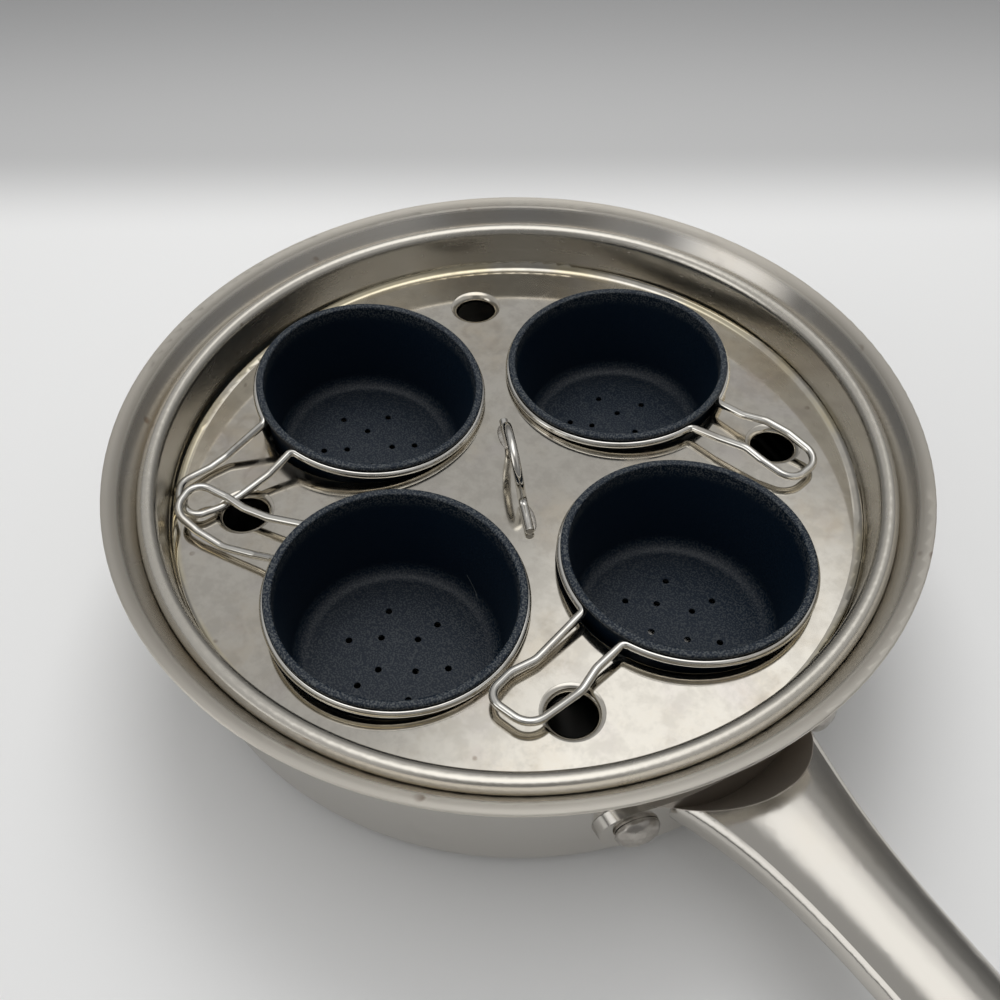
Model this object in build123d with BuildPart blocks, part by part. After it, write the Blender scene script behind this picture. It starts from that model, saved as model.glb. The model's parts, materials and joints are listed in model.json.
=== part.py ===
from build123d import *
import math
import os

# Egg poacher pan: a flared steel pan, a drop-in plate with four round seats,
# and four dark cups that hang in wire carriers.
# Millimetres. +Z is up, the origin is the centre of the base's underside,
# and the long handle runs along +X.

# Pan shell
pan_height = 66.0
wall_radius = 112.7
wall_thickness = 1.0
flare_reach = 12.3
flare_height = 15.6
flare_bend_radius = 7.0
rim_lip_width = 2.6
rim_lip_bend_radius = 4.0
base_bend_radius = 7.5
rim_edge_round = 0.35

# Bonded base: an aluminium disc inside a steel cap
core_thickness = 3.1
core_inset = 13.7
cap_thickness = 0.6
cap_bend_radius = 2.0

# Running gap between loose pieces, and the close gap between fixed ones
loose_gap = 0.25
fixed_gap = 0.05

# Drop-in plate
plate_drop = 22.0
plate_thickness = 0.8
plate_wall_inset = 0.8
plate_wall_slope = 0.6
plate_corner_radius = 3.6
bead_height = 3.0
bead_drop = 5.0

# Round seats for the cups, and the steam vents between them. The seats fill
# the plate but for a web between neighbours and a margin inside its wall.
cup_count = 4
first_cup_angle = 22.5
seat_web = 12.1
seat_edge_margin = 11.7
seat_lip_round = 1.2
vent_edge_margin = 23.4
vent_hole_radius = 6.7
vent_lip_round = 2.5

# Cup: a tapered steel bowl with a rolled lip and steam holes in its floor
cup_floor_gap = 8.2
cup_lip_overhang = 0.9
cup_lip_width = 2.5
cup_lip_height = 1.6
cup_lip_round = 0.7
cup_floor_inset = 5.1
cup_corner_radius = 5.0
cup_thickness = 0.8
steam_hole_radius = 1.1
outer_hole_circle = 16.5
outer_hole_count = 6
inner_hole_circle = 8.2
inner_hole_count = 4
inner_hole_turn = -30.0

# Wire carrier: a ring under the cup's lip that runs out into a finger loop
wire_diameter = 2.6
ring_overhang = 0.7
ring_end_angle = 16.5
ring_turn_in = 3.4
loop_half_width_share = 0.2237
loop_length_share = 0.992
loop_bend_radius = 8.0

# Lift handle: one bent wire welded to the middle of the plate
strap_diameter = 3.0
strap_half_width = 11.5
strap_height = 18.0
strap_foot = 13.0
strap_top_radius = 10.5
strap_heel_radius = 3.4
strap_lean = 2.0
strap_sink = 0.25
strap_tip_round = 0.4
strap_angle = 157.5

# Pan handle, from the pan's wall out
handle_span = 187.0
handle_root_sink = 0.7
handle_crest_drop = 6.4
handle_rise = 4.5
handle_root_half_width = 24.5
handle_grip_half_width = 13.2
handle_thickness = 15.5
handle_edge_round = 4.6
handle_end_radius = 11.5
hang_hole_radius = 4.5
hang_hole_inset = 13.0
scoop_centre_inset = 26.3
scoop_wall_radius = 28.6
scoop_crest_radius = 42.2
scoop_depth = 23.0

# Riveted ears of the pan handle
ear_thickness = 3.2
ear_half_height = 10.0
rivet_angle = 16.4
rivet_drop = 16.0
rivet_shank_radius = 3.0
rivet_head_radius = 6.2
rivet_head_height = 3.9
rivet_head_lip = 0.9
dome_middle_share = 0.707
rivet_inner_head_radius = 5.0
rivet_inner_head_height = 1.5
cut_overrun = 2.0

# Places that follow from the sizes above
rim_radius = wall_radius + flare_reach
core_radius = wall_radius - core_inset
shell_floor_z = core_thickness + cap_thickness + wall_thickness
plate_top_z = pan_height - plate_drop
plate_mid_z = plate_top_z - plate_thickness / 2
mid_wall_radius = wall_radius - wall_thickness / 2
flare_foot_z = pan_height - flare_height
flare_rise = flare_height - wall_thickness / 2
flare_angle = math.atan2(flare_rise, flare_reach + wall_thickness / 2 - rim_lip_width)
wire_radius = wire_diameter / 2
ring_seat_z = plate_top_z + loose_gap + wire_radius
lip_seat_height = loose_gap + wire_diameter + loose_gap + cup_lip_height
cup_depth = plate_top_z + lip_seat_height - shell_floor_z - cup_floor_gap
strap_radius = strap_diameter / 2
handle_root_x = wall_radius - handle_root_sink
handle_end_x = handle_root_x + handle_span
handle_crest_z = flare_foot_z - handle_crest_drop
hang_x = handle_end_x - hang_hole_inset
scoop_centre_x = handle_root_x - scoop_centre_inset
scoop_floor_z = handle_crest_z - scoop_depth
rivet_z = handle_crest_z - rivet_drop
rivet_y = (wall_radius + ear_thickness) * math.sin(math.radians(rivet_angle))
ear_face_radius = wall_radius + fixed_gap + ear_thickness
inner_wall_radius = wall_radius - wall_thickness
rivet_inner_face = math.sqrt(inner_wall_radius**2 - rivet_inner_head_radius**2) - fixed_gap
rivet_outer_face = ear_face_radius + fixed_gap
plate_wall_top_radius = inner_wall_radius - plate_wall_inset
plate_wall_foot_radius = plate_wall_top_radius - plate_wall_slope
bead_edge_z = pan_height - bead_drop - bead_height
bead_edge_radius = mid_wall_radius + (bead_edge_z - flare_foot_z) / math.tan(flare_angle) \
    - (wall_thickness / 2 + loose_gap) / math.sin(flare_angle) - plate_thickness / 2
bead_crest_radius = (plate_wall_top_radius + bead_edge_radius) / 2
first_vent_angle = first_cup_angle + 180 / cup_count
seat_room_radius = plate_wall_foot_radius - seat_edge_margin
seat_side_share = math.sin(math.pi / cup_count)
seat_hole_radius = (seat_side_share * seat_room_radius - seat_web / 2) / (1 + seat_side_share)
cup_circle_radius = seat_room_radius - seat_hole_radius
vent_circle_radius = plate_wall_foot_radius - vent_edge_margin
cup_lip_radius = seat_hole_radius + cup_lip_overhang
cup_floor_radius = seat_hole_radius - cup_floor_inset
ring_radius = seat_hole_radius + ring_overhang
loop_half_width = loop_half_width_share * ring_radius
loop_length = loop_length_share * ring_radius

# How each cup and its carrier were left: a push off centre outwards and
# round the circle, the lean, the way it rises, the turn of its holes, and the
# way its finger loop points. Angles are in degrees.
seat_names = ["right_front", "right_back", "left_back", "left_front"]
push_out_shares = [0.018, -0.004, -0.030, -0.006]
push_round_shares = [0.019, -0.012, -0.003, 0.014]
lean_angles = [2.63, 2.64, 7.49, 3.82]
rise_angles = [297.6, 82.6, 210.0, 224.4]
hole_turns = [28.7, 164.0, 8.0, 42.1]
loop_angles = [282.2, 15.0, 279.5, 209.3]

# Bends of each finger loop, from one leg round to the other. A row is a share
# of loop_length outwards, a share of loop_half_width across, and a height
# over the plate in shares of wire_diameter.
loop_bend_shares = [
    [
        (0.525, -0.79, 0.40), (0.735, -1.02, 0.56), (1.02, -0.87, 1.06),
        (0.97, 0.89, 1.06), (0.65, 0.99, 0.56), (0.47, 1.03, 0.25), (0.28, 0.88, 1.02),
    ],
    [
        (0.27, -0.81, 1.40), (0.52, -0.65, 1.87), (0.69, -0.70, 1.52), (1.00, -0.59, 0.67),
        (1.03, 1.11, 0.67), (0.68, 1.21, 1.48), (0.46, 1.09, 1.83), (0.26, 0.87, 1.40),
    ],
    [
        (0.39, -1.03, 0.40), (0.56, -1.02, 0.08), (0.84, -1.02, 0.40), (0.95, -0.36, 0.60),
        (0.98, 0.80, 0.50), (0.74, 0.98, 0.12), (0.55, 0.96, 0.08), (0.25, 0.98, 0.87),
    ],
    [
        (0.32, -0.66, 1.17), (0.56, -0.59, 1.16), (0.75, -0.71, 1.25), (1.08, -0.68, 1.71),
        (1.03, 0.80, 1.71), (0.76, 1.02, 0.94), (0.49, 1.08, 0.40), (0.19, 0.93, 1.02),
    ],
]
bend_room_share = 0.45


def bend_radii(points, largest):
    """Radius for each inner corner of a path, kept to what its two runs allow."""
    radii = []
    for before, corner, after in zip(points, points[1:], points[2:]):
        run_in, run_out = corner - before, after - corner
        half_turn = math.radians(run_in.get_angle(run_out)) / 2
        room = bend_room_share * min(run_in.length, run_out.length) / math.tan(half_turn)
        radii.append(min(room, largest))
    return radii


def cup_rim_plane(index, facing_angle):
    """Plane of a cup's rim, leaning as the cup was left, with x towards an angle."""
    angle = math.radians(first_cup_angle + index * 360 / cup_count)
    out, round_way = Vector(math.cos(angle), math.sin(angle)), Vector(-math.sin(angle), math.cos(angle))
    lean, rise = math.radians(lean_angles[index]), math.radians(rise_angles[index])
    centre = out * cup_circle_radius
    centre += out * (push_out_shares[index] * ring_radius)
    centre += round_way * (push_round_shares[index] * ring_radius)
    centre += Vector(0, 0, plate_top_z + lip_seat_height + cup_lip_radius * math.sin(lean))
    normal = Vector(-math.cos(rise) * math.sin(lean), -math.sin(rise) * math.sin(lean), math.cos(lean))
    facing = math.radians(facing_angle)
    across = normal.cross(Vector(math.cos(facing), math.sin(facing)))
    return Plane(origin=centre, x_dir=across.cross(normal), z_dir=normal)


# Pan shell: one spun sheet, from the floor out to the flared rim and its level lip
with BuildPart() as pan_body:
    with BuildSketch(Plane.XZ):
        with BuildLine():
            FilletPolyline(
                (0, shell_floor_z - wall_thickness / 2),
                (mid_wall_radius, shell_floor_z - wall_thickness / 2),
                (mid_wall_radius, flare_foot_z),
                (rim_radius - rim_lip_width, flare_foot_z + flare_rise),
                (rim_radius, flare_foot_z + flare_rise),
                radius=[base_bend_radius, flare_bend_radius, rim_lip_bend_radius],
            )
        trace(line_width=wall_thickness)
    revolve(axis=Axis.Z)
    fillet(pan_body.edges().filter_by(GeomType.CIRCLE).group_by(SortBy.RADIUS)[-1], rim_edge_round)
    with PolarLocations(0, 2, start_angle=-rivet_angle, angular_range=2 * rivet_angle, endpoint=True):
        with Locations((mid_wall_radius, 0, rivet_z)):
            Cylinder(
                rivet_shank_radius + fixed_gap, wall_thickness + 2 * cut_overrun,
                rotation=(0, 90, 0), mode=Mode.SUBTRACT,
            )
pan_body.part.label = "pan_body"

# Aluminium disc bonded under the floor
with BuildPart() as base_core:
    with BuildSketch(Plane.XY.offset(cap_thickness)):
        Circle(core_radius)
    extrude(amount=core_thickness)
    fillet(base_core.faces().sort_by(Axis.Z)[0].edges(), cap_bend_radius - cap_thickness)
base_core.part.label = "base_core"

# Steel cap pressed over the disc
with BuildPart() as base_cap:
    with BuildSketch():
        Circle(core_radius + fixed_gap + cap_thickness)
    extrude(amount=core_thickness + cap_thickness)
    fillet(base_cap.faces().sort_by(Axis.Z)[0].edges(), cap_bend_radius)
    with BuildSketch(Plane.XY.offset(cap_thickness)):
        Circle(core_radius + fixed_gap)
    extrude(amount=core_thickness, mode=Mode.SUBTRACT)
base_cap.part.label = "base_cap"

# Ears of the pan handle: a band that hugs the wall, round-ended about the rivets
with BuildPart() as ear_band:
    with BuildSketch(Plane.XY):
        Circle(ear_face_radius)
        Circle(wall_radius + fixed_gap, mode=Mode.SUBTRACT)
    extrude(amount=pan_height)
    with BuildSketch(Plane.YZ):
        with Locations((0, rivet_z)):
            SlotCenterToCenter(2 * rivet_y, 2 * ear_half_height)
    extrude(amount=ear_face_radius + ear_thickness, mode=Mode.INTERSECT)

# Pan handle: a crowned bar that widens into a yoke, scooped out at its root
handle_along_shares = [0.0, 0.065, 0.17, 0.34, 0.60, 0.86, 1.0]
handle_width_shares = [1.0, 0.66, 0.27, 0.02, -0.05, 0.06, -0.04]
handle_top_shares = [-0.55, 0.0, 0.16, 0.44, 0.86, 1.0, 0.94]
shoulder_share = 0.34
keel_share = 0.80
handle_thick_shares = [1.26, 1.30, 1.12, 1.0, 0.96, 0.90, 0.74]
with BuildPart() as handle:
    for along, wide, top, thick in zip(
        handle_along_shares, handle_width_shares, handle_top_shares, handle_thick_shares
    ):
        half = handle_grip_half_width + wide * (handle_root_half_width - handle_grip_half_width)
        crown = handle_crest_z + top * handle_rise
        deep = thick * handle_thickness
        with BuildSketch(Plane.YZ.offset(handle_root_x + along * handle_span)) as section:
            with BuildLine():
                shoulder, keel = crown - shoulder_share * deep, crown - keel_share * deep
                over = ThreePointArc((-half, shoulder), (0, crown), (half, shoulder))
                under = ThreePointArc((half, keel), (0, crown - deep), (-half, keel))
                Line(over @ 1, under @ 0)
                Line(under @ 1, over @ 0)
            make_face()
            fillet(section.vertices(), handle_edge_round * thick)
    loft()
    with BuildSketch(Plane.XZ):
        with BuildLine():
            Polyline(
                (scoop_centre_x, scoop_floor_z),
                (scoop_centre_x + scoop_wall_radius, scoop_floor_z),
                (scoop_centre_x + scoop_crest_radius, handle_crest_z),
                (scoop_centre_x + scoop_crest_radius + cut_overrun, pan_height),
                (scoop_centre_x, pan_height),
                close=True,
            )
        make_face()
    revolve(axis=Axis((scoop_centre_x, 0, 0), (0, 0, 1)), mode=Mode.SUBTRACT)
    # Rounded end, cut square down through the bar
    with BuildSketch(Plane.XY):
        with Locations((handle_end_x, 0)):
            Rectangle(2 * handle_end_radius, 4 * handle_grip_half_width)
        with Locations((handle_end_x - handle_grip_half_width, 0)):
            RectangleRounded(2 * handle_grip_half_width, 2 * handle_grip_half_width,
                             handle_end_radius, mode=Mode.SUBTRACT)
        with Locations((hang_x, 0)):
            Circle(hang_hole_radius)
    extrude(amount=pan_height, mode=Mode.SUBTRACT)
    add(ear_band.part)
    with BuildSketch(Plane.XY):
        Circle(wall_radius + fixed_gap)
    extrude(amount=pan_height, mode=Mode.SUBTRACT)
    # Rivet holes, and a flat sunk into the yoke's flank for each rivet head
    with PolarLocations(0, 2, start_angle=-rivet_angle, angular_range=2 * rivet_angle, endpoint=True):
        with Locations((wall_radius, 0, rivet_z)):
            Cylinder(
                rivet_shank_radius + fixed_gap, 4 * ear_thickness,
                rotation=(0, 90, 0), mode=Mode.SUBTRACT,
            )
        with Locations((ear_face_radius, 0, rivet_z)):
            Cylinder(
                rivet_head_radius + fixed_gap, 2 * rivet_head_height, rotation=(0, 90, 0),
                align=(Align.CENTER, Align.CENTER, Align.MIN), mode=Mode.SUBTRACT,
            )
handle.part.label = "handle"

# Rivets: a round head outside the ear, a shank, and a flat head inside the pan
rivets = []
for side, turn in (("right", -rivet_angle), ("left", rivet_angle)):
    axis_plane = Plane(
        origin=(0, 0, rivet_z),
        x_dir=(math.cos(math.radians(turn)), math.sin(math.radians(turn)), 0),
        z_dir=(math.sin(math.radians(turn)), -math.cos(math.radians(turn)), 0),
    )
    with BuildPart() as rivet:
        with BuildSketch(axis_plane):
            with BuildLine():
                dome = ThreePointArc(
                    (rivet_outer_face + rivet_head_height, 0),
                    (rivet_outer_face + dome_middle_share * rivet_head_height,
                     dome_middle_share * rivet_head_radius),
                    (rivet_outer_face + rivet_head_lip, rivet_head_radius),
                )
                Polyline(
                    dome @ 1,
                    (rivet_outer_face, rivet_head_radius),
                    (rivet_outer_face, rivet_shank_radius),
                    (rivet_inner_face, rivet_shank_radius),
                    (rivet_inner_face, rivet_inner_head_radius),
                    (rivet_inner_face - rivet_inner_head_height, rivet_inner_head_radius),
                    (rivet_inner_face - rivet_inner_head_height, 0),
                    dome @ 0,
                )
            make_face()
        revolve(axis=Axis(axis_plane.origin, axis_plane.x_dir))
    rivet.part.label = f"rivet_{side}"
    rivets.append(rivet)

# Turned-down edges of the cup seats and the steam vents, one of each
turned_edges = []
for hole, turn_down in ((seat_hole_radius, seat_lip_round), (vent_hole_radius, vent_lip_round)):
    with BuildPart() as turned_edge:
        with BuildSketch(Plane.XZ):
            with BuildLine():
                RadiusArc(
                    (hole + turn_down, plate_mid_z),
                    (hole + plate_thickness / 2, plate_mid_z - turn_down),
                    -turn_down,
                )
            trace(line_width=plate_thickness)
        revolve(axis=Axis.Z)
    turned_edges.append(turned_edge)
seat_edge, vent_edge = turned_edges

# Drop-in plate: flat floor, short wall and a bead that hangs on the pan's flare
with BuildPart() as insert_plate:
    with BuildSketch(Plane.XZ):
        with BuildLine():
            floor_and_wall = FilletPolyline(
                (0, plate_mid_z),
                (plate_wall_foot_radius, plate_mid_z),
                (plate_wall_top_radius, bead_edge_z),
                radius=plate_corner_radius,
            )
            ThreePointArc(
                floor_and_wall @ 1,
                (bead_crest_radius, bead_edge_z + bead_height),
                (bead_edge_radius, bead_edge_z),
            )
        trace(line_width=plate_thickness)
    revolve(axis=Axis.Z)
    # Cup seats and steam vents, cut to where their edges turn down
    for circle, first, cut_radius, edge in (
        (cup_circle_radius, first_cup_angle, seat_hole_radius + seat_lip_round, seat_edge),
        (vent_circle_radius, first_vent_angle, vent_hole_radius + vent_lip_round, vent_edge),
    ):
        with BuildSketch(Plane.XY.offset(plate_top_z - 2 * plate_thickness)):
            with PolarLocations(circle, cup_count, start_angle=first):
                Circle(cut_radius)
        extrude(amount=3 * plate_thickness, mode=Mode.SUBTRACT)
        with PolarLocations(circle, cup_count, start_angle=first):
            add(edge.part)
insert_plate.part.label = "insert_plate"

# Lift handle: feet flat on the plate, an arch between them, all one wire
strap_axis = Plane(origin=(0, 0, plate_top_z), z_dir=(0, 0, 1)).rotated((0, 0, strap_angle))
with BuildPart() as lift_handle:
    foot_z = strap_radius - strap_sink
    strap_points = [
        Vector(-strap_half_width - strap_foot, 0, foot_z),
        Vector(-strap_half_width, 0, foot_z),
        Vector(-strap_half_width, strap_lean, strap_height),
        Vector(strap_half_width, strap_lean, strap_height),
        Vector(strap_half_width, 0, foot_z),
        Vector(strap_half_width + strap_foot, 0, foot_z),
    ]
    strap_points = [strap_axis.from_local_coords(point) for point in strap_points]
    with BuildLine() as strap_path:
        strap_run = FilletPolyline(
            *strap_points,
            radius=[strap_heel_radius, strap_top_radius, strap_top_radius, strap_heel_radius],
        )
    with BuildSketch(Plane(origin=strap_run @ 0, z_dir=strap_run % 0)):
        Circle(strap_radius)
    sweep(path=strap_path.wires()[0])
    fillet(lift_handle.faces().filter_by(GeomType.PLANE).edges(), strap_tip_round)
    with BuildSketch(Plane.XY.offset(plate_top_z)):
        Circle(strap_half_width + strap_foot + strap_diameter)
    extrude(amount=-strap_diameter, mode=Mode.SUBTRACT)
lift_handle.part.label = "lift_handle"


def wire_carrier(index):
    """Ring under a cup's lip and the finger loop that its ends run out into."""
    rim = cup_rim_plane(index, loop_angles[index])
    ring = Plane(
        origin=rim.origin - rim.z_dir * (cup_lip_height + loose_gap + wire_radius),
        x_dir=rim.x_dir, z_dir=rim.z_dir,
    )
    loop = math.radians(loop_angles[index])
    out, across = Vector(math.cos(loop), math.sin(loop)), Vector(-math.sin(loop), math.cos(loop))
    foot = Vector(ring.origin.X, ring.origin.Y, ring_seat_z)
    end = math.radians(ring_end_angle)
    mouth = []
    for side in (-1, 1):
        ring_end = Vector(math.cos(end), side * math.sin(end)) * ring_radius
        turn = ring_end + Vector(math.sin(end), -side * math.cos(end)) * ring_turn_in
        mouth.append([ring.from_local_coords(ring_end), ring.from_local_coords(turn)])
    bends = [
        foot + out * (ring_radius + reach * loop_length)
        + across * (wide * loop_half_width) + Vector(0, 0, high * wire_diameter)
        for reach, wide, high in loop_bend_shares[index]
    ]
    points = [*mouth[0], *bends, mouth[1][1], mouth[1][0]]
    with BuildPart() as carrier:
        with BuildLine() as loop_path:
            loop_run = FilletPolyline(*points, radius=bend_radii(points, loop_bend_radius))
        with BuildSketch(Plane(origin=loop_run @ 0, z_dir=loop_run % 0)):
            Circle(wire_radius)
        sweep(path=loop_path.wires()[0])
        with BuildLine() as ring_path:
            back = ring.from_local_coords(Vector(-ring_radius, 0, 0))
            ring_run = ThreePointArc(loop_run @ 1, back, loop_run @ 0)
        with BuildSketch(Plane(origin=ring_run @ 0, z_dir=ring_run % 0)):
            Circle(wire_radius)
        sweep(path=ring_path.wires()[0])
    carrier.part.label = f"wire_carrier_{seat_names[index]}"
    return carrier


def egg_cup(index):
    """Tapered cup that leans in its ring, spun about its own axis."""
    rim = cup_rim_plane(index, hole_turns[index])
    side = Plane(origin=rim.origin, x_dir=rim.x_dir, z_dir=rim.x_dir.cross(rim.z_dir))
    with BuildPart() as cup:
        with BuildSketch(side):
            with BuildLine():
                FilletPolyline(
                    (0, -cup_depth - cup_thickness / 2),
                    (cup_floor_radius + cup_thickness / 2, -cup_depth - cup_thickness / 2),
                    (cup_lip_radius - cup_lip_width + cup_thickness / 2, -cup_lip_height / 2),
                    radius=cup_corner_radius,
                )
            trace(line_width=cup_thickness)
            with Locations((cup_lip_radius - cup_lip_width / 2, -cup_lip_height / 2)):
                RectangleRounded(cup_lip_width, cup_lip_height, cup_lip_round)
        revolve(axis=Axis(rim.origin, rim.z_dir))
        with BuildSketch(rim.offset(cup_thickness - cup_depth)):
            with PolarLocations(outer_hole_circle, outer_hole_count):
                Circle(steam_hole_radius)
            with PolarLocations(inner_hole_circle, inner_hole_count, start_angle=inner_hole_turn):
                Circle(steam_hole_radius)
        extrude(amount=-3 * cup_thickness, mode=Mode.SUBTRACT)
    cup.part.label = f"egg_cup_{seat_names[index]}"
    return cup


carriers = [wire_carrier(index) for index in range(cup_count)]
cups = [egg_cup(index) for index in range(cup_count)]

pieces = [pan_body, base_core, base_cap, handle, *rivets, insert_plate, lift_handle, *carriers, *cups]
os.makedirs("parts", exist_ok=True)
for piece in pieces:
    name = piece.part.label
    export_step(piece.part, f"parts/{name}.step")
    print(name, len(piece.part.solids()), round(piece.part.volume), piece.part.bounding_box().size)
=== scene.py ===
# Dresses the egg poacher pan for rendering: finishes for its steel and coated
# pieces, hammered rivet heads and weld beads, and a pale tabletop to show it on.
import json
import math

import bpy
from bpy.props import FloatProperty, FloatVectorProperty, PointerProperty
from mathutils import Matrix, Vector


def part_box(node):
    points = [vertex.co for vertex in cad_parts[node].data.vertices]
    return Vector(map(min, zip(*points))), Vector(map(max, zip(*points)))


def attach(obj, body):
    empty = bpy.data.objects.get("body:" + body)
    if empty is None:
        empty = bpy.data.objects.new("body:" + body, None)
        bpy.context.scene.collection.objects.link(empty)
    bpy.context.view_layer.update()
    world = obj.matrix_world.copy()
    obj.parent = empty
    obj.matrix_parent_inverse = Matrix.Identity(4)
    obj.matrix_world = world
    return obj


bl_info = {
    "name": "Egg Poacher Pan",
    "version": (1, 0, 0),
    "blender": (4, 5, 0),
    "location": "View3D > Sidebar > Poacher",
    "description": "Finishes, fastenings and tabletop of an egg poacher pan",
    "category": "Add Mesh",
}

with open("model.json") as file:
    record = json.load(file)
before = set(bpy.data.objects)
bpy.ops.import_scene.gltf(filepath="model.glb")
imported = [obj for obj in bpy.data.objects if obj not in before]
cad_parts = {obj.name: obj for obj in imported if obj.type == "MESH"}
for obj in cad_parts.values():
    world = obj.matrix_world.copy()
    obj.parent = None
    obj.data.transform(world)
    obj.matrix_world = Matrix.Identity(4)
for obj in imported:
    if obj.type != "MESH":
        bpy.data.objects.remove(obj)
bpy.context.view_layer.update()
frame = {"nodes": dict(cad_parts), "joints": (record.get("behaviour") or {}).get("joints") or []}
nodes = frame["nodes"]

MM = 0.001
SEATS = ("right_front", "right_back", "left_back", "left_front")

# The recess at the handle's root is a cone about an upright axis: its place along the
# handle, its floor's height and radius, and how steeply it rises from there
SCOOP_X = 85.7 * MM
SCOOP_FLOOR = 21.0 * MM
SCOOP_RADIUS = 28.6 * MM
SCOOP_SLOPE = 1.691

# Bands over which one finish gives way to another: heights on the pan and the plate,
# radii from the pan's axis, and depths below a cup's rim
FLARE_BAND = (49.0 * MM, 54.0 * MM)
LIP_BAND = (120.0 * MM, 121.5 * MM)
WALL_BAND = (45.5 * MM, 48.0 * MM)
CORNER_BAND = (106.5 * MM, 108.5 * MM)
CUP_LIP_BAND = (2.0 * MM, 6.0 * MM)
CUP_FLOOR_BAND = (30.0 * MM, 33.5 * MM)

# The rounding of the pan's lip: its height falls with the square of the distance from
# the lip's centre, in metres, and stops falling at its inner edge
LIP_EDGE = 121.2 * MM
LIP_CENTRE = 123.5 * MM
LIP_ROUNDING = 85.0

# A fine scratch in the wall of the left front cup: where it starts, which way it runs
# and is wide, how it fades to its sides and its end, and the side of the cup it is on
SCRATCH_START = Vector((10.8, -24.3, 22.8)) * MM
SCRATCH_ALONG = Vector((0.65, 0.14, -0.74))
SCRATCH_ACROSS = Vector((0.69, 0.27, 0.66))
SCRATCH_SIDES = (0.05 * MM, 0.22 * MM)
SCRATCH_HEAD = (0.0, 1.0 * MM)
SCRATCH_TAIL = (8.0 * MM, 10.0 * MM)
SCRATCH_BAND = (-31.0 * MM, -30.0 * MM)

# How far the corners of the small modelled pieces are moved about, and where the
# random draws start
HEAD_LUMPS, HEAD_SEED = 0.22 * MM, 0
WELD_LUMPS, WELD_SEED = 0.06 * MM, 5

# Colours that stains, wear and grain bring into a finish, and the painted shade in the handle's
# recess and the painted highlight along the plate's corner
LATHE_BROWN = (0.40, 0.36, 0.30)
STAIN_BROWN = (0.24, 0.14, 0.075)
RECESS_PAINTED_SHADE = (0.46, 0.38, 0.31)
HAMMERED_GREY = (0.36, 0.33, 0.30)
WATER_VIOLET = (0.50, 0.43, 0.50)
MOTTLED_GREY = (0.45, 0.42, 0.37)
PAINTED_GLINT_GOLD = (0.84, 0.72, 0.42)
SPECK_BROWN = (0.24, 0.18, 0.13)
WELD_GREY = (0.45, 0.41, 0.36)
WELD_BROWN = (0.30, 0.25, 0.20)
DULL_WIRE = (0.52, 0.47, 0.40)
ALUMINIUM = (0.72, 0.73, 0.74)


class StageSettings(bpy.types.PropertyGroup):
    """Tabletop, camera and lights."""

    floor_colour: FloatVectorProperty(
        name="Tabletop", description="Colour of the tabletop near the pan",
        subtype="COLOR", default=(0.85, 0.85, 0.845), min=0, max=1,
    )
    # Painted shade: the tabletop is darkened behind the pan, standing in for a dimly lit backdrop
    painted_far_shade: FloatVectorProperty(
        name="Backdrop", description="Colour the tabletop fades to behind the pan",
        subtype="COLOR", default=(0.28, 0.28, 0.282), min=0, max=1,
    )
    camera_place: FloatVectorProperty(
        name="Camera", description="Where the camera stands",
        subtype="XYZ", unit="LENGTH", default=(0.18981, -0.12377, 0.29685),
    )
    camera_heading: FloatProperty(
        name="Heading", description="Turn of the camera about the vertical",
        subtype="ANGLE", default=math.radians(58.23),
    )
    camera_pitch: FloatProperty(
        name="Pitch", description="How far the camera looks down",
        subtype="ANGLE", default=math.radians(49.44),
    )
    camera_roll: FloatProperty(
        name="Roll", description="Turn of the camera about its own axis",
        subtype="ANGLE", default=math.radians(-0.37),
    )
    lens: FloatProperty(
        name="Lens", description="Focal length on a 36 mm sensor",
        default=37.68, min=10, max=200,
    )
    room_level: FloatProperty(
        name="Room", description="Brightness of the room all round",
        default=0.22, min=0, max=2,
    )
    ceiling_level: FloatProperty(
        name="Ceiling", description="Brightness of the upper part of the room",
        default=0.45, min=0, max=2,
    )
    tent_level: FloatProperty(
        name="Overhead light", description="Brightness of the soft light overhead",
        default=1.5, min=0, max=4,
    )
    back_level: FloatProperty(
        name="Back light", description="Brightness of the soft light high behind the pan",
        default=1.2, min=0, max=4,
    )
    side_level: FloatProperty(
        name="Side light", description="Brightness of the low light at the side",
        default=1.4, min=0, max=4,
    )
    front_level: FloatProperty(
        name="Front shade", description="Brightness of the dim side that faces the pan's front",
        default=0.18, min=0, max=2,
    )
    horizon_level: FloatProperty(
        name="Horizon", description="Brightness of the lowest part of the room",
        default=0.15, min=0, max=2,
    )
    lamp_power: FloatProperty(
        name="Lamp", description="Power of the lamp that casts the soft shadow",
        unit="POWER", default=4.7, min=0,
    )
    fill_power: FloatProperty(
        name="Fill lamp", description="Power of the lamp that lightens the shadow",
        unit="POWER", default=1.0, min=0,
    )


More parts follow.
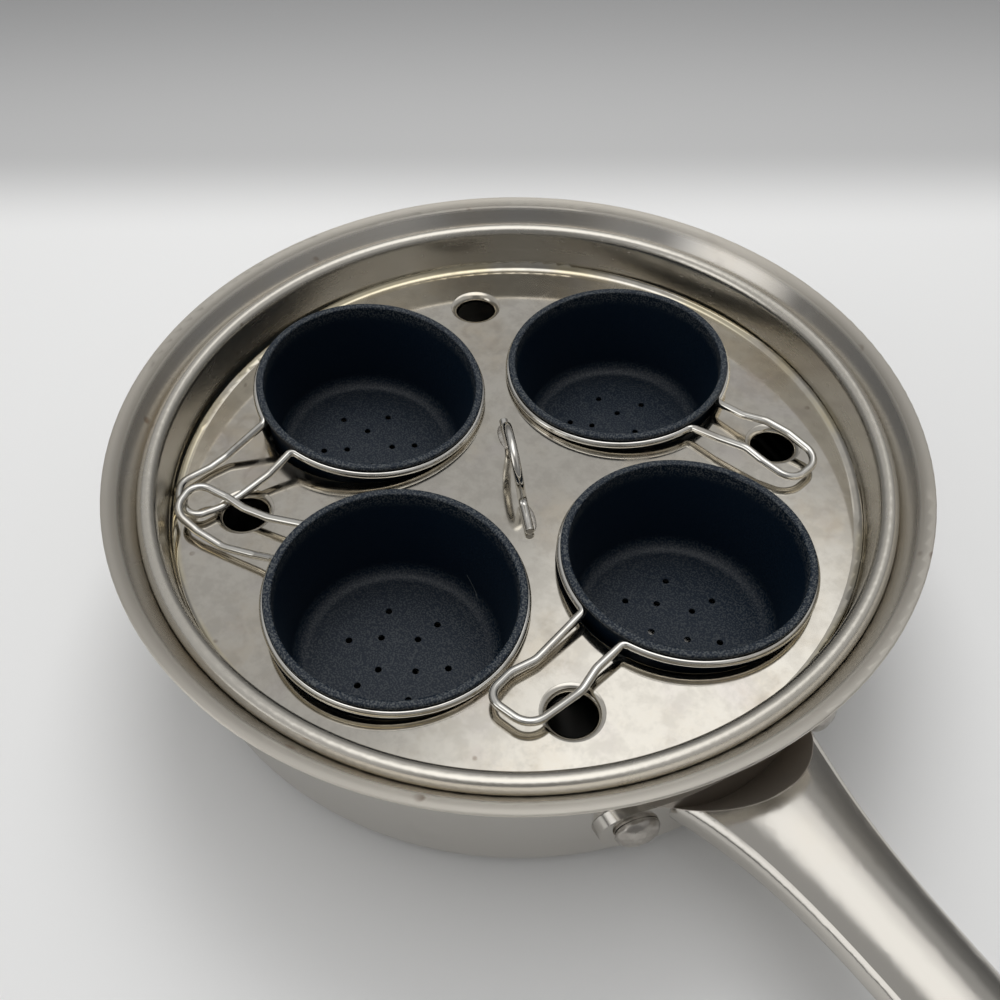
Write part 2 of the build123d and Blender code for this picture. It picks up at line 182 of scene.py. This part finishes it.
class SteelSettings(bpy.types.PropertyGroup):
    """Colours of the bare metal, and sizes of the pieces modelled on it."""

    pan_colour: FloatVectorProperty(
        name="Pan", description="Spun steel of the pan",
        subtype="COLOR", default=(0.60, 0.58, 0.545),
    )
    # Painted highlight: the lip's brighter colour stands in for the sheen along the rim
    painted_lip_sheen: FloatVectorProperty(
        name="Lip", description="Worn bright steel of the pan's lip",
        subtype="COLOR", default=(0.88, 0.83, 0.74),
    )
    plate_colour: FloatVectorProperty(
        name="Plate", description="Bright steel of the drop-in plate",
        subtype="COLOR", default=(0.71, 0.675, 0.605),
    )
    handle_colour: FloatVectorProperty(
        name="Handle", description="Satin cast steel of the handle",
        subtype="COLOR", default=(0.55, 0.525, 0.482),
    )
    wire_colour: FloatVectorProperty(
        name="Wire", description="Polished wire", subtype="COLOR", default=(0.82, 0.80, 0.75),
    )
    head_height: FloatProperty(
        name="Rivet head", description="Height of a hammered rivet head above its flat foot",
        unit="LENGTH", default=3.45 * MM,
    )
    head_skin: FloatProperty(
        name="Head skin", description="How far the hammered head stands proud of the plain one",
        unit="LENGTH", default=0.15 * MM,
    )
    weld_length: FloatProperty(
        name="Weld length", description="Length of a weld along the lift handle's foot",
        unit="LENGTH", default=11.2 * MM,
    )
    weld_width: FloatProperty(
        name="Weld width", description="Width of a weld", unit="LENGTH", default=3.8 * MM,
    )
    weld_height: FloatProperty(
        name="Weld height", description="Height of a weld above the plate",
        unit="LENGTH", default=0.6 * MM,
    )
    weld_reach: FloatProperty(
        name="Weld reach", description="Distance from the lift handle's middle to a weld",
        unit="LENGTH", default=18.0 * MM,
    )
    tint_colour: FloatVectorProperty(
        name="Heat tint", description="Straw colour that heat leaves on steel",
        subtype="COLOR", default=(0.62, 0.50, 0.33),
    )


class CupSettings(bpy.types.PropertyGroup):
    """Coating of the cups."""

    coating_colour: FloatVectorProperty(
        name="Coating", description="Dark non-stick coating",
        subtype="COLOR", default=(0.0006, 0.0070, 0.0175),
    )
    fleck_colour: FloatVectorProperty(
        name="Flecks", description="Pale flecks in the coating",
        subtype="COLOR", default=(0.13, 0.14, 0.14),
    )
    grain_size: FloatProperty(
        name="Grain", description="Size of the coating's grain",
        unit="LENGTH", default=0.55 * MM,
    )


class Value:
    """A number that varies over a surface. Python's operators add the nodes that work it out."""

    def __init__(self, finish, socket):
        self.finish = finish
        self.socket = socket

    def math(self, operation, *others):
        return self.finish.node("ShaderNodeMath", {"operation": operation}, (self, *others))

    def __add__(self, other):
        return self.math("ADD", other)

    def __sub__(self, other):
        return self.math("SUBTRACT", other)

    def __mul__(self, other):
        return self.math("MULTIPLY", other)

    def __truediv__(self, other):
        return self.math("DIVIDE", other)

    def __rsub__(self, other):
        return self.finish.node("ShaderNodeMath", {"operation": "SUBTRACT"}, (other, self))

    __radd__ = __add__
    __rmul__ = __mul__


class Nodes:
    """A node tree, with short ways to add to it."""

    def __init__(self, tree):
        self.tree = tree

    def feed(self, socket, value):
        if isinstance(value, Value):
            self.tree.links.new(value.socket, socket)
        elif socket.type == "RGBA" and len(value) == 3:
            socket.default_value = (*value, 1)
        else:
            socket.default_value = value

    def node(self, kind, settings=None, inputs=(), output=0):
        """Adds a node: its settings first, then the values or links of its sockets."""
        node = self.tree.nodes.new(kind)
        for name, setting in (settings or {}).items():
            setattr(node, name, setting)
        named = inputs.items() if isinstance(inputs, dict) else enumerate(inputs)
        for key, value in named:
            self.feed(node.inputs[key], value)
        return Value(self, node.outputs[output])

    def dot(self, vector, direction):
        return self.node(
            "ShaderNodeVectorMath", {"operation": "DOT_PRODUCT"}, (vector, direction), "Value"
        )

    def ramp(self, value, low, high):
        """0 below low, 1 above high, and smooth between."""
        return self.node(
            "ShaderNodeMapRange", {"interpolation_type": "SMOOTHSTEP"},
            {"Value": value, "From Min": low, "From Max": high},
        )


def towards(azimuth, elevation):
    """The direction that two angles in degrees give."""
    around, up = math.radians(azimuth), math.radians(elevation)
    return Vector((math.cos(up) * math.cos(around), math.cos(up) * math.sin(around), math.sin(up)))


class Room(Nodes):
    """Light from all round, brighter in some directions than in others."""

    def __init__(self, world):
        super().__init__(world.node_tree)
        self.direction = self.node("ShaderNodeTexCoord", output="Generated")

    def patch(self, level, azimuth, elevation, half_width, fade, brightness):
        """Blends to a brightness within half_width degrees of a direction."""
        near = self.dot(self.direction, towards(azimuth, elevation))
        outer = math.cos(math.radians(half_width + fade))
        inner = math.cos(math.radians(half_width - fade))
        return level + self.ramp(near, outer, inner) * (brightness - level)


class Finish(Nodes):
    """One material."""

    def __init__(self, name, colour, metallic, roughness):
        self.material = bpy.data.materials.new(name)
        self.material.use_nodes = True
        super().__init__(self.material.node_tree)
        self.shader = self.tree.nodes["Principled BSDF"]
        self.shader.inputs["Base Color"].default_value = (*colour, 1)
        self.shader.inputs["Metallic"].default_value = metallic
        self.shader.inputs["Roughness"].default_value = roughness

    def set(self, **values):
        """Feeds shader sockets by name, with underscores for spaces."""
        for name, value in values.items():
            self.feed(self.shader.inputs[name.replace("_", " ")], value)

    def place(self):
        return self.node("ShaderNodeTexCoord", output="Object")

    def axes(self, vector):
        split = self.node("ShaderNodeSeparateXYZ", inputs=(vector,)).socket.node
        return [Value(self, socket) for socket in split.outputs]

    def vector(self, x, y, z):
        return self.node("ShaderNodeCombineXYZ", inputs=(x, y, z))

    def noise(self, vector, scale, detail=3.0, roughness=0.5):
        return self.node(
            "ShaderNodeTexNoise",
            inputs={"Vector": vector, "Scale": scale, "Detail": detail, "Roughness": roughness},
        )

    def cells(self, vector, scale, feature="F1"):
        return self.node(
            "ShaderNodeTexVoronoi", {"feature": feature}, {"Vector": vector, "Scale": scale}
        )

    def mix(self, factor, first, second):
        return self.node(
            "ShaderNodeMix", {"data_type": "RGBA"}, {0: factor, 6: first, 7: second}, output=2,
        )

    def bump(self, height, distance, strength=1.0, over=None):
        inputs = {"Height": height, "Distance": distance, "Strength": strength}
        if over is not None:
            inputs["Normal"] = over
        return self.node("ShaderNodeBump", inputs=inputs)

    def radius(self, vector):
        x, y = self.axes(vector)[:2]
        return (x * x + y * y).math("SQRT")

    def turned(self, vector, streak_scale):
        """Streaks that run round the pan's axis, as a lathe leaves them."""
        x, y, z = self.axes(vector)
        radius = self.radius(vector)
        along = self.vector(x / radius, y / radius, (radius + z) * streak_scale)
        return self.noise(along, 1.0, detail=4.0, roughness=0.6)

    def specks(self, vector, scale, size, where):
        """Rounded specks, only where a coarse noise is above a level."""
        near = 1 - self.ramp(self.cells(vector, scale), size * 0.5, size)
        return near * self.ramp(self.noise(vector, scale * 0.4, detail=2.0), where, where + 0.06)

    def scratch(self, vector):
        """The fine scratch, which starts sharply and fades out."""
        run = self.dot(vector, SCRATCH_ALONG) - SCRATCH_START.dot(SCRATCH_ALONG)
        aside = self.dot(vector, SCRATCH_ACROSS) - SCRATCH_START.dot(SCRATCH_ACROSS)
        line = 1 - self.ramp(aside.math("ABSOLUTE"), *SCRATCH_SIDES)
        length = self.ramp(run, *SCRATCH_HEAD) * (1 - self.ramp(run, *SCRATCH_TAIL))
        return line * length * self.ramp(self.axes(vector)[1], *SCRATCH_BAND)


def dress(names, finish):
    """Gives CAD nodes a finish."""
    for name in names:
        mesh = nodes[name].data
        mesh.materials.clear()
        mesh.materials.append(finish.material)


def dome(length, width, height, lumps, seed):
    """Half a lumpy ball at the origin, flat side down."""
    bpy.ops.object.select_all(action="DESELECT")
    bpy.ops.mesh.primitive_ico_sphere_add(subdivisions=3, radius=1, location=(0, 0, 0))
    bpy.ops.object.mode_set(mode="EDIT")
    bpy.ops.mesh.select_all(action="SELECT")
    bpy.ops.mesh.bisect(plane_co=(0, 0, 0), plane_no=(0, 0, 1), clear_inner=True, use_fill=True)
    bpy.ops.mesh.select_all(action="SELECT")
    bpy.ops.transform.resize(value=(length, width, height), center_override=(0, 0, 0))
    bpy.ops.transform.vertex_random(offset=lumps, seed=seed)
    bpy.ops.mesh.subdivide(number_cuts=3, smoothness=1.0)
    bpy.ops.mesh.vertices_smooth(factor=0.5, repeat=4)
    bpy.ops.mesh.normals_make_consistent(inside=False)
    bpy.ops.object.mode_set(mode="OBJECT")
    bpy.ops.object.shade_smooth_by_angle(angle=math.radians(70))
    return bpy.context.object


def fasten(piece, name, turn, place, finish, body):
    """Puts a piece where it belongs, with its place in its mesh."""
    bpy.ops.object.select_all(action="DESELECT")
    piece.select_set(True)
    bpy.context.view_layer.objects.active = piece
    piece.name = name
    piece.rotation_euler = turn.to_euler()
    piece.location = place
    bpy.ops.object.transform_apply(location=True, rotation=True, scale=True)
    piece.data.materials.append(finish.material)
    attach(piece, body)


class POACHER_OT_pan(bpy.types.Operator):
    """Finish the spun pan and its base"""

    bl_idname = "poacher.pan"
    bl_label = "Pan and base"

    def execute(self, context):
        steel = context.scene.poacher_steel
        finish = Finish("spun_steel", steel.pan_colour, 1.0, 0.3)
        finish.set(Anisotropic=0.85, Anisotropic_Rotation=0.25)
        place = finish.place()
        flare = finish.ramp(finish.axes(place)[2], *FLARE_BAND)
        streaks = finish.turned(place, 1400.0)
        bands = finish.turned(place, 260.0)
        clouds = finish.noise(place, 22.0, detail=5.0)
        straw = finish.ramp(clouds, 0.35, 0.80) * (0.05 + flare * 0.25)
        stains = finish.specks(place, 85.0, 0.17, 0.58) * flare
        wipes = finish.ramp(finish.noise(place, 55.0, detail=5.0, roughness=0.65), 0.56, 0.7)
        colour = finish.mix(straw, steel.pan_colour, steel.tint_colour)
        colour = finish.mix(flare * bands * 0.15, colour, LATHE_BROWN)
        radius = finish.radius(place)
        lip = finish.ramp(radius, *LIP_BAND)
        # Painted highlight: the lip is mixed towards a brighter colour
        colour = finish.mix(lip * 0.7, colour, steel.painted_lip_sheen)
        from_centre = radius.math("MAXIMUM", LIP_EDGE) - LIP_CENTRE
        rounding = from_centre * from_centre * -LIP_ROUNDING
        finish.set(
            Base_Color=finish.mix(stains * 0.6, colour, STAIN_BROWN),
            Roughness=0.13 + streaks * 0.14 + wipes * 0.05 + lip * 0.34,
            Normal=finish.bump(rounding, 1.0, over=finish.bump(streaks, 0.006 * MM, 0.5)),
        )
        dress(("pan_body",), finish)

        ground = Finish("ground_steel", steel.pan_colour, 1.0, 0.35)
        ground.set(Anisotropic=0.6)
        lines = ground.turned(ground.place(), 2200.0)
        ground.set(Roughness=0.28 + lines * 0.2, Normal=ground.bump(lines, 0.02 * MM, 0.8))
        dress(("base_cap",), ground)

        core = Finish("dull_aluminium", ALUMINIUM, 1.0, 0.45)
        core.set(Roughness=0.38 + core.noise(core.place(), 400.0) * 0.15)
        dress(("base_core",), core)
        return {"FINISHED"}


class POACHER_OT_handle(bpy.types.Operator):
    """Finish the handle"""

    bl_idname = "poacher.handle"
    bl_label = "Handle"

    def execute(self, context):
        steel = context.scene.poacher_steel
        finish = Finish("satin_cast_steel", steel.handle_colour, 1.0, 0.25)
        place = finish.place()
        x, y, z = finish.axes(place)
        streaks = finish.noise(finish.vector(x * 40, y * 1100, z * 1100), 1.0, detail=3.0)
        hollows = finish.noise(place, 70.0, detail=2.0)
        clouds = finish.noise(place, 32.0, detail=4.0)
        dents = finish.specks(place, 120.0, 0.22, 0.66)
        from_axis = finish.radius(finish.vector(x - SCOOP_X, y, z))
        below_cone = SCOOP_FLOOR + (from_axis - SCOOP_RADIUS) * SCOOP_SLOPE - z
        scoop = 1 - finish.ramp(below_cone, 0.1 * MM, 0.6 * MM)
        straw = finish.ramp(clouds, 0.5, 0.75) * 0.12
        colour = finish.mix(straw, steel.handle_colour, steel.tint_colour)
        # Painted shade and painted reflection: the recess is darkened towards the brown of the
        # rim's underside above it
        colour = finish.mix(scoop * 0.35, colour, RECESS_PAINTED_SHADE)
        finish.set(
            Base_Color=colour,
            Roughness=0.07 + streaks * 0.08 + clouds * 0.08 + scoop * 0.42,
            Normal=finish.bump(
                hollows - dents * 0.2, 0.25 * MM, 0.5,
                over=finish.bump(streaks, 0.008 * MM, 0.5),
            ),
        )
        dress(("handle",), finish)
        return {"FINISHED"}


class POACHER_OT_rivets(bpy.types.Operator):
    """Finish the rivets and hammer their outer heads"""

    bl_idname = "poacher.rivets"
    bl_label = "Rivets"

    def execute(self, context):
        steel = context.scene.poacher_steel
        rough = Finish("hammered_steel", steel.handle_colour, 1.0, 0.32)
        place = rough.place()
        dents = rough.cells(place, 480.0) + rough.noise(place, 900.0) * 0.5
        rough.set(
            Base_Color=rough.mix(rough.noise(place, 350.0), steel.handle_colour, HAMMERED_GREY),
            Roughness=0.2 + rough.noise(place, 700.0) * 0.25,
            Normal=rough.bump(dents, 0.3 * MM, 0.7),
        )
        dress(("rivet_right", "rivet_left"), rough)

        low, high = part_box("rivet_right")
        head_radius = (high.z - low.z) / 2 + steel.head_skin
        right = dome(head_radius, head_radius, steel.head_height, HEAD_LUMPS, HEAD_SEED)
        bpy.ops.object.duplicate()
        left = context.object
        for head, side, upright in ((right, "right", "Y"), (left, "left", "X")):
            low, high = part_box(f"rivet_{side}")
            centre = (low + high) / 2
            out = Vector((centre.x, centre.y, 0)).normalized()
            reach = max(out.dot(vertex.co) for vertex in nodes[f"rivet_{side}"].data.vertices)
            foot = out * (reach + steel.head_skin - steel.head_height) + Vector((0, 0, centre.z))
            fasten(
                head, f"hammered_head_{side}", out.to_track_quat("Z", upright), foot,
                rough, "pan",
            )
        return {"FINISHED"}


class POACHER_OT_plate(bpy.types.Operator):
    """Finish the drop-in plate"""

    bl_idname = "poacher.plate"
    bl_label = "Drop-in plate"

    def execute(self, context):
        steel = context.scene.poacher_steel
        finish = Finish("bright_steel", steel.plate_colour, 1.0, 0.1)
        place = finish.place()
        clouds = finish.noise(place, 30.0, detail=6.0, roughness=0.65)
        marks = finish.noise(place, 170.0, detail=5.0, roughness=0.6)
        drops = finish.cells(place, 75.0, "SMOOTH_F1")
        rings = finish.ramp(drops, 0.30, 0.36) * (1 - finish.ramp(drops, 0.38, 0.46))
        wall = finish.ramp(finish.axes(place)[2], *WALL_BAND)
        rings *= finish.ramp(clouds, 0.45, 0.6) * (1 - wall)
        straw = finish.ramp(clouds, 0.42, 0.74) * (0.4 - wall * 0.34)
        violet = finish.ramp(finish.noise(place, 48.0, detail=4.0), 0.56, 0.7)
        violet *= (1 - wall) * 0.15
        mottle = finish.ramp(marks, 0.38, 0.64) * (1 - wall) * 0.34
        # Painted highlight: a gold glint in patches along the plate's corner, where the crease
        # catches the light
        corner = finish.ramp(finish.radius(place), *CORNER_BAND) * (1 - wall)
        painted_glint = corner * finish.ramp(finish.noise(place, 24.0, detail=2.0), 0.40, 0.55)
        specks = finish.specks(place, 110.0, 0.13, 0.60)
        colour = finish.mix(straw, steel.plate_colour, steel.tint_colour)
        colour = finish.mix(violet, colour, WATER_VIOLET)
        colour = finish.mix(mottle, colour, MOTTLED_GREY)
        colour = finish.mix(painted_glint * 0.5, colour, PAINTED_GLINT_GOLD)
        streaks = finish.turned(place, 900.0)
        roughness = 0.02 + clouds * 0.07 + marks * 0.07 + rings * 0.1
        finish.set(
            Base_Color=finish.mix(specks * 0.6 + rings * 0.12, colour, SPECK_BROWN),
            Roughness=roughness + wall * (0.13 + streaks * 0.08),
            Normal=finish.bump(finish.noise(place, 16.0, detail=1.0), 0.4 * MM, 0.3),
        )
        dress(("insert_plate",), finish)
        return {"FINISHED"}


class POACHER_OT_welds(bpy.types.Operator):
    """Run a weld along each foot of the lift handle"""

    bl_idname = "poacher.welds"
    bl_label = "Welds"

    def execute(self, context):
        steel = context.scene.poacher_steel
        finish = Finish("weld_steel", WELD_GREY, 1.0, 0.3)
        place = finish.place()
        ripples = finish.cells(place, 900.0, "SMOOTH_F1")
        finish.set(
            Base_Color=finish.mix(finish.noise(place, 500.0), WELD_BROWN, steel.wire_colour),
            Roughness=0.2 + ripples * 0.3,
            Normal=finish.bump(ripples, 0.15 * MM, 0.8),
        )
        plate_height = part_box("lift_handle")[0].z
        ends = sorted(nodes["lift_handle"].data.vertices, key=lambda vertex: vertex.co.x)
        left, right = ends[0].co, ends[-1].co
        run = Vector((right.x - left.x, right.y - left.y, 0)).normalized()
        middle = Vector(((left.x + right.x) / 2, (left.y + right.y) / 2, plate_height))
        first = dome(
            steel.weld_length / 2, steel.weld_width / 2, steel.weld_height, WELD_LUMPS, WELD_SEED,
        )
        bpy.ops.object.duplicate()
        second = context.object
        for weld, name, side in ((first, "weld_left", -1), (second, "weld_right", 1)):
            out = run * side
            fasten(
                weld, name, out.to_track_quat("X", "Z"), middle + out * steel.weld_reach,
                finish, "insert",
            )
        return {"FINISHED"}


class POACHER_OT_wires(bpy.types.Operator):
    """Finish the carriers and the lift handle"""

    bl_idname = "poacher.wires"
    bl_label = "Wires"

    def execute(self, context):
        steel = context.scene.poacher_steel
        finish = Finish("polished_wire", steel.wire_colour, 1.0, 0.1)
        place = finish.place()
        scuffs = finish.noise(place, 340.0, detail=4.0)
        dull = finish.ramp(finish.noise(place, 90.0, detail=3.0), 0.52, 0.66)
        finish.set(
            Base_Color=finish.mix(dull * 0.4, steel.wire_colour, DULL_WIRE),
            Roughness=0.03 + scuffs * 0.07 + dull * 0.05,
            Normal=finish.bump(scuffs, 0.02 * MM, 0.4),
        )
        dress([f"wire_carrier_{seat}" for seat in SEATS] + ["lift_handle"], finish)
        return {"FINISHED"}


class POACHER_OT_cups(bpy.types.Operator):
    """Finish the coated cups"""

    bl_idname = "poacher.cups"
    bl_label = "Cups"

    def execute(self, context):
        cups = context.scene.poacher_cups
        axes = {joint["name"]: Vector(joint["axis"]) for joint in frame["joints"]}
        for seat in SEATS:
            finish = Finish(f"dark_coating_{seat}", cups.coating_colour, 0.0, 0.45)
            place = finish.place()
            axis = axes[f"cup_lift_{seat}"]
            top = max(axis.dot(vertex.co) for vertex in nodes[f"egg_cup_{seat}"].data.vertices)
            depth = top - finish.dot(place, axis)
            grain = finish.noise(place, 1 / cups.grain_size, detail=1.0)
            lip = 1 - finish.ramp(depth, *CUP_LIP_BAND)
            floor = finish.ramp(depth, *CUP_FLOOR_BAND)
            flecks = finish.ramp(grain, 0.48, 0.60) * (0.015 + floor * 0.24 + lip * 0.52)
            if seat == "left_front":
                flecks += finish.scratch(place)
            finish.set(
                Base_Color=finish.mix(flecks, cups.coating_colour, cups.fleck_colour),
                Roughness=0.36 + grain * 0.16,
                Specular_IOR_Level=0.42,
                Normal=finish.bump(grain, 0.12 * MM, 0.8),
            )
            dress((f"egg_cup_{seat}",), finish)
        return {"FINISHED"}


class POACHER_OT_stage(bpy.types.Operator):
    """Lay the tabletop and set up the lights and the camera"""

    bl_idname = "poacher.stage"
    bl_label = "Tabletop, lights and camera"

    def execute(self, context):
        stage = context.scene.poacher_stage
        scene = context.scene

        bpy.ops.object.select_all(action="DESELECT")
        bpy.ops.mesh.primitive_circle_add(
            vertices=128, radius=6, fill_type="NGON", location=(0, 0, 0)
        )
        floor = context.object
        floor.name = "tabletop"
        surface = Finish("tabletop", stage.floor_colour, 0.0, 0.6)
        x, y = surface.axes(surface.place())[:2]
        heading = stage.camera_heading + math.pi / 2
        behind = x * math.cos(heading) + y * math.sin(heading)
        # Painted shade: the tabletop fades to a dark grey behind the pan
        fade = surface.ramp(behind, 0.195, 0.27) * 0.6 + surface.ramp(behind, 0.24, 0.50) * 0.4
        surface.set(Base_Color=surface.mix(fade, stage.floor_colour, stage.painted_far_shade))
        floor.data.materials.append(surface.material)

        world = bpy.data.worlds.new("room")
        scene.world = world
        world.use_nodes = True
        world.node_tree.nodes["Background"].inputs["Color"].default_value = (1, 1, 1, 1)
        room = Room(world)
        level = stage.horizon_level
        # Angles in degrees; a patch lies over those before it
        for azimuth, elevation, half_width, fade, brightness in (
            (0, 90, 74, 10, stage.room_level),
            (0, 90, 58, 8, stage.ceiling_level),
            (328, 42, 20, 9, stage.front_level),
            (122, 63, 12, 7, stage.back_level),
            (140, 88, 20, 8, stage.tent_level),
            (262, 22, 13, 8, stage.side_level),
        ):
            level = room.patch(level, azimuth, elevation, half_width, fade, brightness)
        room.feed(world.node_tree.nodes["Background"].inputs["Strength"], level)

        # Angles in degrees, distance and size in metres
        for azimuth, elevation, distance, size, power in (
            (150, 60, 1.1, 0.6, stage.lamp_power),
            (300, 55, 1.1, 1.0, stage.fill_power),
        ):
            aim = towards(azimuth, elevation)
            bpy.ops.object.light_add(type="AREA", location=aim * distance)
            lamp = context.object
            lamp.rotation_euler = aim.to_track_quat("Z", "Y").to_euler()
            lamp.data.energy = power
            lamp.data.size = size
            lamp.visible_glossy = False

        bpy.ops.object.camera_add(location=stage.camera_place)
        camera = context.object
        turn = (
            Matrix.Rotation(stage.camera_heading, 3, "Z")
            @ Matrix.Rotation(math.pi / 2 - stage.camera_pitch, 3, "X")
            @ Matrix.Rotation(stage.camera_roll, 3, "Z")
        )
        camera.rotation_euler = turn.to_euler()
        camera.data.lens = stage.lens
        camera.data.sensor_width = 36
        scene.camera = camera
        scene.view_settings.view_transform = "Standard"
        return {"FINISHED"}


class POACHER_PT_panel(bpy.types.Panel):
    """Lists the steps that dress the pan"""

    bl_label = "Egg Poacher Pan"
    bl_space_type = "VIEW_3D"
    bl_region_type = "UI"
    bl_category = "Poacher"

    def draw(self, context):
        for step in STEPS:
            self.layout.operator(step.bl_idname)


STEPS = (
    POACHER_OT_pan, POACHER_OT_handle, POACHER_OT_rivets, POACHER_OT_plate, POACHER_OT_welds,
    POACHER_OT_wires, POACHER_OT_cups, POACHER_OT_stage,
)
SETTINGS = {
    "poacher_stage": StageSettings,
    "poacher_steel": SteelSettings,
    "poacher_cups": CupSettings,
}


def register():
    for kind in (*SETTINGS.values(), *STEPS, POACHER_PT_panel):
        bpy.utils.register_class(kind)
    for name, settings in SETTINGS.items():
        setattr(bpy.types.Scene, name, PointerProperty(type=settings))


def unregister():
    for name in SETTINGS:
        delattr(bpy.types.Scene, name)
    for kind in reversed((*SETTINGS.values(), *STEPS, POACHER_PT_panel)):
        bpy.utils.unregister_class(kind)


def main():
    register()
    bpy.ops.poacher.pan()
    bpy.ops.poacher.handle()
    bpy.ops.poacher.rivets()
    bpy.ops.poacher.plate()
    bpy.ops.poacher.welds()
    bpy.ops.poacher.wires()
    bpy.ops.poacher.cups()
    bpy.ops.poacher.stage()


if __name__ == "__main__":
    main()
